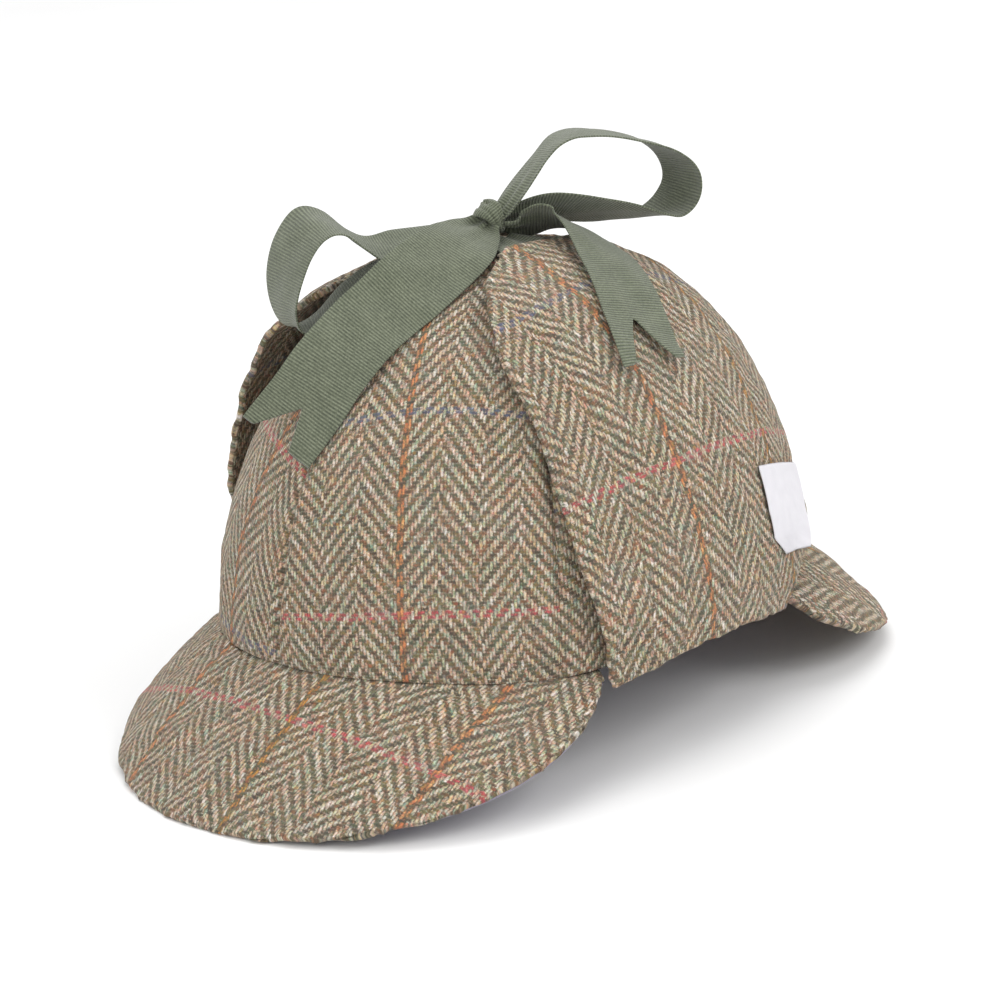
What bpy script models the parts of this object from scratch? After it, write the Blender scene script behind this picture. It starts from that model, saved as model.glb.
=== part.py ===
"""Deerstalker hat: a tweed dome with a peak in front and behind, and two ear flaps turned up and tied on top.

Metres, +Z up. The hat rests on the floor, z = 0, on the tips of its two peaks. The front peak points along -Y and
the wearer's left is +X. The origin is on the floor under the middle of the whole hat.
"""

import math

import bpy
from mathutils import Vector

MM = 0.001

# Crown: a dome on an oval, measured over its outside.
CROWN_HALF_LENGTH = 102 * MM
CROWN_HALF_WIDTH = 86 * MM
CROWN_TOP = 151.5 * MM
CROWN_FULLNESS = 2.05  # exponent of the dome's section: 2 is an ellipse, more is boxier
APEX_SET_BACK = 8 * MM
CROWN_WALL = 2.5 * MM
CROWN_COLUMNS, CROWN_RINGS = 48, 13
SEAM_GAP = 0.35 * MM

# Height of the crown's lower edge, by the angle from the front.
RIM = (
    # angle, height
    (0, 40.5),
    (30, 39.0),
    (60, 35.5),
    (90, 38.5),
    (120, 35.5),
    (150, 38.5),
    (180, 40.0),
)

# Peaks: cloth sheets that leave the crown's edge and droop to the floor.
PEAK_CORNER = 3 * MM  # how far a peak still stands out where it ends at the side
PEAK_EDGE_ROUND = 2.2
FLOOR_PRESS = 1.2 * MM  # how much of a peak's lower edge the floor flattens
PEAK_COLUMNS, PEAK_ROWS = 30, 6
PEAKS = {
    # spread: half the angle that it takes; fall: degrees less droop at the side; twist: degrees more droop on the
    # wearer's right; curl: degrees steeper at the edge
    "front": dict(heading=-1, spread=67.5, length=57.5 * MM, fall=8, twist=4, curl=7, blunt=0.74, thick=3.2 * MM),
    "rear": dict(heading=1, spread=61.0, length=56.5 * MM, fall=6, twist=-3, curl=12, blunt=0.58, thick=3.2 * MM),
}
LINING_THICK = 0.7 * MM
LINING_INSET = 0.12  # share of the peak's depth that the lining stops short of its edge

# Ear flaps, seen from the side: front and rear edge at each share of the way up to the tip.
FLAP_OUTLINE = (
    # up, front_y, rear_y
    (0.00, -38.5, 46.5),
    (0.04, -39.5, 50.5),
    (0.08, -40.5, 58.5),
    (0.12, -41.5, 66.0),
    (0.20, -43.0, 75.0),
    (0.30, -44.5, 80.5),
    (0.50, -43.5, 82.5),
    (0.65, -41.0, 79.5),
    (0.78, -38.5, 71.5),
    (0.88, -31.0, 58.5),
    (0.95, -20.5, 43.0),
    (1.00, -4.0, 25.0),
)
FLAP_AXIS_HEIGHT = 38 * MM  # the flap's height is an angle about this level line
FLAP_TIP_ANGLE = math.radians(83)
FLAP_FOLD_HEIGHT = 30 * MM
FLAP_FOLD_ARCH = 5.5 * MM
FLAP_GAP = 0.8 * MM
FLAP_THICK = 3.0 * MM
FLAP_LIFT = (
    # up, left, right: how far the flap's edges stand off the crown
    (0.00, 0.4, 0.6),
    (0.15, 2.8, 3.2),
    (0.35, 0.8, 7.3),
    (0.60, 0.0, 9.0),
    (0.76, 0.0, 7.0),
    (0.90, 0.0, 2.0),
    (1.00, 0.0, 0.0),
)
FLAP_COLUMNS, FLAP_ROWS = 16, 18

# Label: its front and rear edge across the flap, at each share of the way up the flap.
LABEL_OUTLINE = (
    # up, front, rear
    (0.135, 0.78, 0.915),
    (0.18, 0.69, 0.93),
    (0.25, 0.665, 0.94),
    (0.36, 0.655, 0.945),
)
LABEL_THICK = 0.5 * MM
LABEL_GAP = 0.7 * MM

# Ribbon and bow. A turn is the heading of the ribbon's width, from +X towards -Y; a rise tips it up.
RIBBON_THICK = 0.8 * MM
# A fishtail cut: its depth, and where its prongs end and it is deepest, as shares of the width from -1 to 1.
FRONT_NOTCH = (13.5 * MM, -0.70, 0.0, 0.38)
REAR_NOTCH = (17.5 * MM, -0.68, 0.13, 0.64)
KNOT_CENTRE = (1.4, 3.6, 161.6)
KNOT_AXIS = (0.35, 0.75, 0.56)  # from the front loop's roots to the rear loop's
KNOT_RADIUS, KNOT_HALF_LENGTH = 5.6 * MM, 4.4 * MM

FRONT_LOOP = (
    # x, y, z, width, turn, rise
    (-4.6, -2.6, 157.6, 12, 27, -7),
    (-8.8, -10.6, 157.0, 18, 27, -10),
    (-13.2, -21.8, 155.6, 24, 27, -12),
    (-17.3, -29.9, 155.4, 25, 27, -9),
    (-20.4, -36.0, 159.6, 25, 26, -6),
    (-23.6, -42.8, 166.2, 25, 22, -10),
    (-26.4, -49.4, 167.0, 25, 18, -14),
    (-29.2, -55.2, 160.2, 25, 16, -10),
    (-31.0, -58.6, 150.0, 25, 19, -4),
    (-31.2, -59.2, 140.8, 25, 23, 3),
    (-29.2, -57.0, 134.8, 25, 26, 6),
    (-24.6, -50.8, 135.6, 25, 27, 3),
    (-17.6, -42.6, 143.2, 25, 27, -4),
    (-11.6, -32.0, 149.8, 24, 27, -8),
    (-7.8, -19.4, 152.9, 18, 27, -6),
    (-4.8, -7.0, 155.0, 12, 27, -2),
)
REAR_LOOP = (
    (1.8, 8.6, 163.6, 11.5, 20, -4),
    (3.0, 13.0, 168.0, 16.5, 24, 4),
    (4.2, 17.6, 172.6, 20, 26, 8),
    (5.4, 22.4, 177.2, 22, 28, 9),
    (6.8, 27.4, 181.0, 24, 30, 8),
    (8.6, 33.5, 183.2, 25, 27, 6),
    (11.6, 41.0, 183.0, 25, 22, 4),
    (15.4, 51.0, 180.2, 25, 19, 2),
    (19.2, 61.0, 176.2, 25, 19, 2),
    (21.8, 67.0, 171.6, 25, 19, 1),
    (23.6, 70.0, 166.0, 25, 18, 1),
    (23.8, 70.0, 160.4, 25, 18, -2),
    (22.8, 67.2, 155.8, 25, 18, -3),
    (20.8, 62.6, 153.0, 25, 18, 1),
    (18.6, 56.0, 152.8, 25, 18, 12),
    (16.2, 48.5, 154.6, 25, 19, 20),
    (13.0, 39.0, 157.2, 25, 19, 26),
    (9.4, 30.2, 159.6, 24, 20, 32),
    (5.6, 23.6, 160.8, 21, 21, 36),
    (2.4, 17.4, 160.6, 17.5, 22, 38),
    (-0.2, 11.2, 159.4, 13, 24, 40),
)
FRONT_TAIL = (
    (1.0, -0.8, 158.6, 14.5, -7, -22),
    (2.5, -7.2, 157.8, 20, -9, -26),
    (5.2, -17.0, 156.2, 25, -13, -28),
    (6.1, -36.4, 149.4, 26, -18, -36),
    (4.1, -46.2, 144.0, 25.5, -15, -35),
    (2.5, -57.2, 138.3, 25.5, -16, -33),
    (0.4, -69.7, 129.1, 25.5, -18, -34),
    (-2.1, -78.3, 119.8, 26, -22, -36),
    (-7.5, -88.2, 107.9, 27, -20, -33),
)
REAR_TAIL = (
    (4.0, 10.4, 157.6, 11.5, 50, 32),
    (5.0, 13.0, 158.1, 16, 54, 38),
    (6.8, 15.8, 158.4, 21, 54, 38),
    (9.6, 19.4, 158.8, 24, 56, 33),
    (12.9, 22.3, 158.2, 23.5, 61, 28),
    (17.2, 23.6, 156.9, 22.5, 68, 23),
    (22.9, 23.6, 154.8, 22, 76, 19),
    (29.9, 22.0, 151.8, 22, 84, 15),
    (38.6, 18.9, 147.6, 23, 92, 10),
    (47.0, 15.4, 141.8, 23.5, 96, 9),
    (54.8, 11.4, 134.8, 24, 97, 8),
    (62.8, 7.2, 127.9, 24.5, 97, 8),
    (69.4, 4.8, 121.4, 25.5, 94, 2),
)
RIBBON_TIE = (
    (12.4, 6.2, 152.2, 21.5, 88, 0),
    (8.4, 5.8, 152.8, 18.5, 88, 0),
    (2.6, 5.2, 153.8, 13.5, 88, 0),
)

TWEED = ((0.33, 0.29, 0.20), 0.95)
TWEED_EDGE = ((0.30, 0.27, 0.19), 0.95)
LINING = ((0.62, 0.60, 0.68), 0.7)
RIBBON = ((0.19, 0.23, 0.15), 0.8)
LABEL = ((0.86, 0.86, 0.90), 0.8)


# Numbers read from the tables.


def slope(rows, at, column):
    """How fast a column changes at one row, from its neighbours."""
    before, after = max(at - 1, 0), min(at + 1, len(rows) - 1)
    return (rows[after][column] - rows[before][column]) / (rows[after][0] - rows[before][0])


def read_table(rows, key):
    """The other columns of a table at a value of its first one, smoothly between its rows."""
    key = min(max(key, rows[0][0]), rows[-1][0])
    at = max(i for i in range(len(rows) - 1) if rows[i][0] <= key)
    low, high = rows[at], rows[at + 1]
    span = high[0] - low[0]
    t = (key - low[0]) / span
    found = []
    for column in range(1, len(low)):
        start, end = slope(rows, at, column) * span, slope(rows, at + 1, column) * span
        rise = high[column] - low[column]
        bend = (3 * rise - 2 * start - end) * t**2 + (start + end - 2 * rise) * t**3
        found.append(low[column] + start * t + bend)
    return found


def mix(a, b, share):
    return a + (b - a) * share


# Surfaces of the dome.


def rim_height(angle):
    """Height of the crown's lower edge at an angle from the front, in radians, either way round."""
    turned = abs(math.degrees(angle)) % 360
    return read_table(RIM, min(turned, 360 - turned))[0] * MM


def dome_point(angle, climb, out=0.0):
    """A point of the crown's outside: angle from the front towards +X, climb 0 at the rim and pi/2 on top."""
    level = max(math.cos(climb), 0.0) ** (2 / CROWN_FULLNESS)
    up = math.sin(climb) ** (2 / CROWN_FULLNESS)
    x = (CROWN_HALF_WIDTH + out) * math.sin(angle) * level
    y = -(CROWN_HALF_LENGTH + out) * math.cos(angle) * level + APEX_SET_BACK * up
    rim = rim_height(angle)
    return Vector((x, y, rim + (CROWN_TOP + out - rim) * up))


def outside_dome(point, out):
    """Above 0 where a point is outside the dome grown by out, below 0 inside it."""
    x, y, z = point
    rim = rim_height(math.atan2(x / CROWN_HALF_WIDTH, -y / CROWN_HALF_LENGTH))
    up = min(max((z - rim) / (CROWN_TOP + out - rim), 0.0), 1.5)
    back = y - APEX_SET_BACK * min(up, 1.0)
    level = math.hypot(x / (CROWN_HALF_WIDTH + out), back / (CROWN_HALF_LENGTH + out))
    return level**CROWN_FULLNESS + up**CROWN_FULLNESS - 1


def side_point(side, tilt, y, out):
    """Where a ray in the plane of that y, tilted up from the side, meets the dome grown by out."""
    ray = Vector((side * math.cos(tilt), 0, math.sin(tilt)))
    start = Vector((0, y, FLAP_AXIS_HEIGHT))
    near, far = 0.0, 2 * CROWN_TOP
    for _ in range(40):
        middle = (near + far) / 2
        if outside_dome(start + ray * middle, out) > 0:
            far = middle
        else:
            near = middle
    return start + ray * near


# Meshes and objects.


def clear_scene():
    for old in list(bpy.data.objects):
        bpy.data.objects.remove(old)


def new_collection(name):
    collection = bpy.data.collections.new(name)
    bpy.context.scene.collection.children.link(collection)
    return collection


def material(name, look):
    made = bpy.data.materials.new(name)
    made.use_nodes = True
    shader = made.node_tree.nodes["Principled BSDF"]
    colour, roughness = look
    shader.inputs["Base Color"].default_value = (*colour, 1)
    shader.inputs["Roughness"].default_value = roughness
    shader.inputs["Metallic"].default_value = 0
    made.diffuse_color = (*colour, 1)
    return made


def loft(name, rows, collection, finish, closed=False, pole=None):
    """An open surface through rows of points, seen from its front when the rows run up and the points leftwards."""
    points = [tuple(p) for row in rows for p in row]
    wide = len(rows[0])
    steps = wide if closed else wide - 1
    faces = []
    for j in range(len(rows) - 1):
        for i in range(steps):
            k = (i + 1) % wide
            faces.append((j * wide + i, j * wide + k, (j + 1) * wide + k, (j + 1) * wide + i))
    if pole is not None:
        points.append(tuple(pole))
        last = (len(rows) - 1) * wide
        faces += [(last + i, last + (i + 1) % wide, len(points) - 1) for i in range(steps)]
    mesh = bpy.data.meshes.new(name)
    mesh.from_pydata(points, [], faces)
    mesh.update()
    mesh.shade_smooth()
    mesh.set_sharp_from_angle(angle=math.radians(50))
    mesh.materials.append(finish)
    made = bpy.data.objects.new(name, mesh)
    collection.objects.link(made)
    return made


def thicken(piece, thickness, outward=False):
    """Turns an open surface into a wall, behind its front or in front of it."""
    wall = piece.modifiers.new("wall", "SOLIDIFY")
    wall.thickness = thickness
    wall.offset = 1 if outward else -1
    wall.use_even_offset = False
    return piece


# Crown.


def build_crown(collection, finish):
    rows = []
    for ring in range(CROWN_RINGS):
        climb = math.pi / 2 * ring / CROWN_RINGS
        angles = (2 * math.pi * i / CROWN_COLUMNS for i in range(CROWN_COLUMNS))
        rows.append([dome_point(angle, climb) for angle in angles])
    crown = loft("crown", rows, collection, finish, closed=True, pole=dome_point(0, math.pi / 2))
    return thicken(crown, CROWN_WALL)


# Peaks.


def peak_top(peak, across, out):
    """A point of a peak's upper face: across -1 to 1 along the crown, out 0 at the crown and 1 at the edge."""
    off_middle = across * math.radians(peak["spread"])
    angle = off_middle if peak["heading"] < 0 else math.pi - off_middle
    root = dome_point(angle, 0) - Vector((0, 0, SEAM_GAP))
    normal = Vector((math.sin(angle) / CROWN_HALF_WIDTH, -math.cos(angle) / CROWN_HALF_LENGTH, 0)).normalized()
    share = max(1 - abs(across) ** PEAK_EDGE_ROUND, 0.0) ** peak["blunt"]
    length = max(peak["length"] * share, PEAK_CORNER)
    drop = rim_height(0 if peak["heading"] < 0 else math.pi) - SEAM_GAP
    middle_drop = drop + FLOOR_PRESS - peak["thick"] * math.cos(math.asin(drop / peak["length"]))
    fall = peak["fall"] * across**2 + peak["twist"] * across
    droop = math.asin(middle_drop / peak["length"]) - math.radians(fall)
    curl = math.radians(peak["curl"]) * (out - 1)
    return root + (normal * math.cos(droop + curl) - Vector((0, 0, math.sin(droop + curl)))) * length * out


def peak_point(peak, across, out, depth):
    """The point that lies depth below a peak's upper face."""
    step = 0.01
    along = peak_top(peak, across + step, out) - peak_top(peak, across - step, out)
    outward = peak_top(peak, across, out + step) - peak_top(peak, across, out)
    normal = along.cross(outward).normalized()
    if normal.z < 0:
        normal.negate()
    return peak_top(peak, across, out) - normal * depth


def peak_rows(peak, depth, reach):
    """Rows from the edge up to the crown, each with its points leftwards as seen from outside."""
    rows = []
    for j in range(PEAK_ROWS + 1):
        out = reach * (1 - j / PEAK_ROWS)
        turns = (math.sin(math.pi / 2 * (2 * i / PEAK_COLUMNS - 1)) for i in range(PEAK_COLUMNS + 1))
        rows.append([peak_point(peak, -peak["heading"] * turn, out, depth) for turn in turns])
    return rows


def rest_on_floor(piece, floor):
    """Flattens what would reach under the floor."""
    cut = piece.modifiers.new("floor", "BOOLEAN")
    cut.operation = "DIFFERENCE"
    cut.solver = "EXACT"
    cut.object = floor


def build_peaks(collection, floor, tweed, lining):
    for name, peak in PEAKS.items():
        piece = loft(name + "_peak", peak_rows(peak, 0.0, 1.0), collection, tweed)
        thicken(piece, peak["thick"])
        rest_on_floor(piece, floor)
    peak = PEAKS["front"]
    rows = peak_rows(peak, peak["thick"] + SEAM_GAP, 1 - LINING_INSET)
    thicken(loft("front_peak_lining", rows, collection, lining), LINING_THICK)


def build_floor_cutter(collection):
    size = 0.5
    bpy.ops.mesh.primitive_cube_add(size=size, location=(0, 0, -size / 2))
    floor = bpy.context.object
    floor.name = "floor_cutter"
    floor.hide_render = True
    floor.display_type = "WIRE"
    for old in list(floor.users_collection):
        old.objects.unlink(floor)
    collection.objects.link(floor)
    return floor


# Ear flaps and label.


def flap_point(side, across, up, out):
    """A point over one flap: across 0 at its front edge and 1 at its rear, up 0 at the fold and 1 at the tip."""
    front, rear = read_table(FLAP_OUTLINE, up)
    fold = FLAP_FOLD_HEIGHT + FLAP_FOLD_ARCH * math.sin(math.pi * across) - FLAP_AXIS_HEIGHT
    tilt = mix(fold / CROWN_HALF_WIDTH, FLAP_TIP_ANGLE, up)
    edge = 0.35 + 0.65 * abs(2 * across - 1)
    lift = read_table(FLAP_LIFT, up)[0 if side > 0 else 1] * MM * edge
    return side_point(side, tilt, mix(front, rear, across) * MM, FLAP_GAP + lift + out)


def flap_ups():
    """Shares of the way up, closer together at the fold and at the tip, where the outline turns."""
    return [(1 - math.cos(math.pi * j / FLAP_ROWS)) / 2 for j in range(FLAP_ROWS + 1)]


def build_flap(name, side, collection, finish):
    rows = []
    for up in flap_ups():
        shares = [i / FLAP_COLUMNS for i in range(FLAP_COLUMNS + 1)]
        rows.append([flap_point(side, share if side > 0 else 1 - share, up, 0.0) for share in shares])
    thicken(loft(name, rows, collection, finish), FLAP_THICK, outward=True)


def build_label(collection, finish):
    columns, rows = 6, []
    for up, front, rear in LABEL_OUTLINE:
        shares = [mix(front, rear, i / columns) for i in range(columns + 1)]
        rows.append([flap_point(1, share, up, FLAP_THICK + LABEL_GAP) for share in shares])
    thicken(loft("label", rows, collection, finish), LABEL_THICK, outward=True)


# Ribbon.


def width_direction(turn, rise):
    turn, rise = math.radians(turn), math.radians(rise)
    return Vector((math.cos(turn) * math.cos(rise), -math.sin(turn) * math.cos(rise), math.sin(rise)))


def smooth_stations(stations, count):
    """The stations read at equal steps of their number, as (place, width, width's direction)."""
    table = [(float(i), *station) for i, station in enumerate(stations)]
    read = [read_table(table, (len(stations) - 1) * k / count) for k in range(count + 1)]
    return [(Vector(r[:3]) * MM, r[3] * MM, width_direction(r[4], r[5])) for r in read]


def build_ribbon(name, stations, count, collection, finish, notch=None):
    """A strip of ribbon through its stations; a notch cuts its last end as a fishtail."""
    shares = (-1.0, *notch[1:], 1.0) if notch else (-1.0, 0.0, 1.0)
    smooth = smooth_stations(stations, count)
    rows = []
    for k, (place, width, direction) in enumerate(smooth):
        before, after = smooth[max(k - 1, 0)][0], smooth[min(k + 1, count)][0]
        heading = (after - before).normalized()
        across = (direction - heading * direction.dot(heading)).normalized()
        late = max(0.0, (k / count - 0.6) / 0.4)
        row = [place + across * share * width / 2 for share in shares]
        if notch:
            row[2] -= heading * notch[0] * late
        rows.append(row)
    strip = loft(name, rows, collection, finish)
    wall = strip.modifiers.new("wall", "SOLIDIFY")
    wall.thickness = RIBBON_THICK
    wall.offset = 0
    return strip


def build_knot(collection, finish):
    bpy.ops.mesh.primitive_uv_sphere_add(segments=16, ring_count=10, radius=1)
    knot = bpy.context.object
    knot.name = "bow_knot"
    turn = Vector(KNOT_AXIS).to_track_quat("Z", "Y")
    for vertex in knot.data.vertices:
        x, y, z = vertex.co
        vertex.co = turn @ Vector((x * KNOT_RADIUS, y * KNOT_RADIUS, z * KNOT_HALF_LENGTH))
    knot.location = Vector(KNOT_CENTRE) * MM
    knot.data.materials.append(finish)
    knot.data.shade_smooth()
    for old in list(knot.users_collection):
        old.objects.unlink(knot)
    collection.objects.link(knot)


def build_bow(collection, finish):
    build_knot(collection, finish)
    build_ribbon("bow_loop_front", FRONT_LOOP, 45, collection, finish)
    build_ribbon("bow_loop_rear", REAR_LOOP, 50, collection, finish)
    build_ribbon("bow_tail_front", FRONT_TAIL, 24, collection, finish, notch=FRONT_NOTCH)
    build_ribbon("bow_tail_rear", REAR_TAIL, 26, collection, finish, notch=REAR_NOTCH)
    for name, side in (("ribbon_tie_left", 1), ("ribbon_tie_right", -1)):
        stations = [(side * x, y, z, width, side * turn, rise) for x, y, z, width, turn, rise in RIBBON_TIE]
        build_ribbon(name, stations, 8, collection, finish)


def centre_on_origin(collection):
    """Moves the hat along Y, so that its front and rear reach lie evenly about the origin."""
    reaches = [peak_top(peak, 0.0, 1.0).y for peak in PEAKS.values()]
    for piece in collection.objects:
        piece.location.y -= sum(reaches) / 2


def main():
    clear_scene()
    hat = new_collection("deerstalker_hat")
    cutters = new_collection("cutters")
    tweed = material("tweed", TWEED)
    edge_tweed = material("peak_tweed", TWEED_EDGE)
    ribbon = material("ribbon", RIBBON)
    floor = build_floor_cutter(cutters)
    build_crown(hat, tweed)
    build_peaks(hat, floor, edge_tweed, material("lining", LINING))
    build_flap("left_ear_flap", 1, hat, tweed)
    build_flap("right_ear_flap", -1, hat, tweed)
    build_label(hat, material("label", LABEL))
    build_bow(hat, ribbon)
    centre_on_origin(hat)


main()
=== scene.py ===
"""Looks of the deerstalker hat: tweed crown, peaks and turned-up ear flaps, a bare woven label and a ribbon bow.

Sizes are in millimetres up to the making of each mesh, which is in metres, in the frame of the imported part: +Z up,
the floor at z = 0, the front peak along -Y and the wearer's left along +X.
"""

import math

import bpy
import numpy as np
from mathutils import Matrix, Vector


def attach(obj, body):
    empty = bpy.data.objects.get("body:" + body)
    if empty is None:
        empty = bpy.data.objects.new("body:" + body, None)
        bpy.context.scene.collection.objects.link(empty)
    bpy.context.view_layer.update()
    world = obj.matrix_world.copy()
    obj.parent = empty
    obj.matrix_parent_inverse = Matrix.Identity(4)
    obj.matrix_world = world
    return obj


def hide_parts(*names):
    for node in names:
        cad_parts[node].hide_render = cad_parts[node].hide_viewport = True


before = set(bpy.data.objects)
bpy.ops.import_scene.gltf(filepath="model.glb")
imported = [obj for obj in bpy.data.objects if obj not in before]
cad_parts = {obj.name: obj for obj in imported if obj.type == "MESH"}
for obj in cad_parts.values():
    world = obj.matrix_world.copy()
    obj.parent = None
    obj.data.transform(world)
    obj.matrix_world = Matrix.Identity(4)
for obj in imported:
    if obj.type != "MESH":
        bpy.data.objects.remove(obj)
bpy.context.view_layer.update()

MM = 0.001

# Crown.
HALF_LENGTH, HALF_WIDTH, TOP = 102.0, 86.0, 151.5
FULLNESS = 2.05
APEX_SET_BACK = 8.0
WALL = 2.5
SEAM_GAP = 0.35
RIM = (
    # degrees from the front, height
    (0, 40.5),
    (30, 39.0),
    (60, 35.5),
    (90, 38.5),
    (120, 35.5),
    (150, 38.5),
    (180, 40.0),
)
RIM_STEPS = 12
RIM_ROUND = 0.7
GORES = 6
# The groove along each seam, the welts of folded cloth beside it, and where both fade out below the top.
GROOVE_DEPTH, GROOVE_WIDTH = 1.0, 0.9
WELT_HEIGHT, WELT_PLACE, WELT_WIDTH = 0.35, 3.2, 2.2
SEAM_FADE = 30.0

# Peaks. Their angles are in degrees, and blunt is the power that rounds the outline off at the sides.
PEAK_CORNER = 3.0
PEAK_EDGE_ROUND = 2.2
FLOOR_PRESS = 1.2
PEAKS = {
    "front_peak": dict(heading=-1, spread=67.5, length=57.5, fall=8, twist=4, curl=7, blunt=0.74, thick=3.2),
    "rear_peak": dict(heading=1, spread=61.0, length=56.5, fall=6, twist=-3, curl=12, blunt=0.58, thick=3.2),
}
# How sharp each edge is: the outer one, the seam and the two sides.
PEAK_RATES = (1, 5, 2.5, 2.5)
PEAK_TUCK = 2.0
# The share of the crown's curve that stays in the seam of the flat cloth, and where on the peak its droop is read.
PEAK_TURN, PEAK_DROOP_AT = 0.82, 0.6
LINING_THICK = 0.7
# The shares of the peak's length that its lining stops short of the edge: in the middle and at the sides.
LINING_INSET = (0.12, 0.012)

# Ear flaps and label.
FLAP_OUTLINE = (
    # up, front_y, rear_y
    (0.00, -38.5, 46.5),
    (0.04, -39.5, 50.5),
    (0.08, -40.5, 58.5),
    (0.12, -41.5, 66.0),
    (0.20, -43.0, 75.0),
    (0.30, -44.5, 80.5),
    (0.50, -43.5, 82.5),
    (0.65, -41.0, 79.5),
    (0.78, -38.5, 71.5),
    (0.88, -31.0, 58.5),
    (0.95, -20.5, 43.0),
    (1.00, -4.0, 25.0),
)
FLAP_AXIS_HEIGHT = 38.0
FLAP_TIP_ANGLE = math.radians(83)
FLAP_FOLD_HEIGHT = 30.0
FLAP_FOLD_ARCH = 5.5
FLAP_GAP = 0.8
FLAP_THICK = 3.0
FLAP_EASE = 0.4
FLAP_WIDTH = 110.0
FLAP_MIDDLE = 10.0
# The front edge stands off the crown by this much, which fades over this distance from the edge.
FLAP_EDGE_LIFT, FLAP_EDGE_FADE = 1.9, 7.0
FLAP_LIFT = (
    # up, left, right
    (0.00, 0.4, 0.6),
    (0.15, 2.8, 3.2),
    (0.35, 0.8, 7.3),
    (0.60, 0.0, 9.0),
    (0.76, 0.0, 7.0),
    (0.90, 0.0, 2.0),
    (1.00, 0.0, 0.0),
)
LABEL_OUTLINE = (
    # up, front, rear
    (0.135, 0.78, 0.915),
    (0.18, 0.69, 0.93),
    (0.25, 0.665, 0.94),
    (0.36, 0.655, 0.945),
)
LABEL_GAP, LABEL_THICK = 0.7, 0.5
LABEL_CORNER_LIFT = 3.2

# Ribbon and bow.
RIBBON_WIDTH = 25.0
RIBBON_THICK = 0.6
RIBBON_CUP = 0.35
# Where the ribbon is gathered it has folds along it: their depth, and how many half waves there are on each side.
GATHER_DEPTH, GATHER_FOLDS = 1.1, 2.5
RIBBON_SWAY = (
    # size, length, slant
    (0.25, 9.0, 2),
    (0.15, 4.3, 5),
)
# A fishtail cut: its depth, where it starts, is deepest and ends as shares of the width from -1 to 1, and the end's
# slant.
FRONT_NOTCH = (13.5, -0.70, 0.0, 0.38, 0.0)
REAR_NOTCH = (17.5, -0.68, 0.13, 0.64, 1.3)
KNOT_CENTRE = (1.4, 3.6, 161.6)
KNOT_AXIS = (0.35, 0.75, 0.56)
KNOT_FRONT = (0.714, -0.599, 0.355)
KNOT_WRAP = (
    # degrees round, start, end, radius
    (-180, -3.4, 3.2, 4.9),
    (-120, -2.6, 2.2, 5.0),
    (-70, -1.8, 0.6, 4.8),
    (-50, -2.0, 1.4, 4.5),
    (-30, -2.2, 2.6, 4.3),
    (0, -2.8, 3.8, 4.3),
    (30, -3.6, 4.0, 4.2),
    (60, -4.4, 3.6, 4.2),
    (90, -4.2, 3.2, 4.2),
    (130, -3.8, 3.2, 4.5),
    (180, -3.4, 3.2, 4.9),
)
KNOT_FOLDS = (
    # place, sway, phase, depth, width
    (-0.45, 0.22, 0.4, 0.5, 0.10),
    (0.08, 0.30, 1.7, 0.55, 0.09),
    (0.55, 0.16, 2.6, 0.45, 0.10),
)
KNOT_BULGE = dict(size=0.9, turn_at=1.45, turn_width=0.5, share_at=0.5, share_width=0.35)
KNOT_DIMPLE = dict(size=1.3, turn_at=1.15, turn_width=0.28, share_at=0.45, share_width=0.22)
KNOT_ROUND = 0.6
FRONT_LOOP = (
    # x, y, z, width, turn, rise
    (-1.0, 2.6, 160.2, 9, 27, -4),
    (-4.6, -2.6, 157.6, 12, 27, -7),
    (-8.8, -10.6, 157.0, 18, 27, -10),
    (-13.2, -21.8, 155.6, 24, 27, -12),
    (-17.3, -29.9, 155.4, 25, 27, -9),
    (-20.4, -36.0, 159.6, 25, 26, -6),
    (-23.6, -42.8, 166.2, 25, 22, -10),
    (-26.4, -49.4, 167.0, 25, 18, -14),
    (-29.2, -55.2, 160.2, 25, 16, -10),
    (-31.0, -58.6, 150.0, 25, 19, -4),
    (-31.2, -59.2, 140.8, 25, 23, 3),
    (-29.2, -57.0, 134.8, 25, 26, 6),
    (-24.6, -50.8, 135.6, 25, 27, 3),
    (-17.6, -42.6, 143.2, 25, 27, -4),
    (-11.6, -32.0, 149.8, 24, 27, -8),
    (-7.8, -19.4, 152.9, 18, 27, -6),
    (-4.8, -7.0, 155.0, 12, 27, -2),
    (-2.4, 0.8, 158.0, 8, 27, 0),
)
REAR_LOOP = (
    (0.8, 4.8, 160.6, 9, 19, -6),
    (1.8, 8.6, 163.6, 11.5, 20, -4),
    (3.0, 13.0, 168.0, 16.5, 24, 4),
    (4.2, 17.6, 172.6, 20, 26, 8),
    (5.4, 22.4, 177.2, 22, 28, 9),
    (6.8, 27.4, 181.0, 24, 30, 8),
    (8.6, 33.5, 183.2, 25, 27, 6),
    (11.6, 41.0, 183.0, 25, 22, 4),
    (15.4, 51.0, 180.2, 25, 19, 2),
    (19.2, 61.0, 176.2, 25, 19, 2),
    (21.8, 67.0, 171.6, 25, 19, 1),
    (23.6, 70.0, 166.0, 25, 18, 1),
    (23.8, 70.0, 160.4, 25, 18, -2),
    (22.8, 67.2, 155.8, 25, 18, -3),
    (20.8, 62.6, 153.0, 25, 18, 1),
    (18.6, 56.0, 152.8, 25, 18, 12),
    (16.2, 48.5, 154.6, 25, 19, 20),
    (13.0, 39.0, 157.2, 25, 19, 26),
    (9.4, 30.2, 159.6, 24, 20, 32),
    (5.6, 23.6, 160.8, 21, 21, 36),
    (2.4, 17.4, 160.6, 17.5, 22, 38),
    (-0.2, 11.2, 159.4, 13, 24, 40),
    (-0.6, 6.4, 159.0, 9, 24, 30),
)
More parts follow.
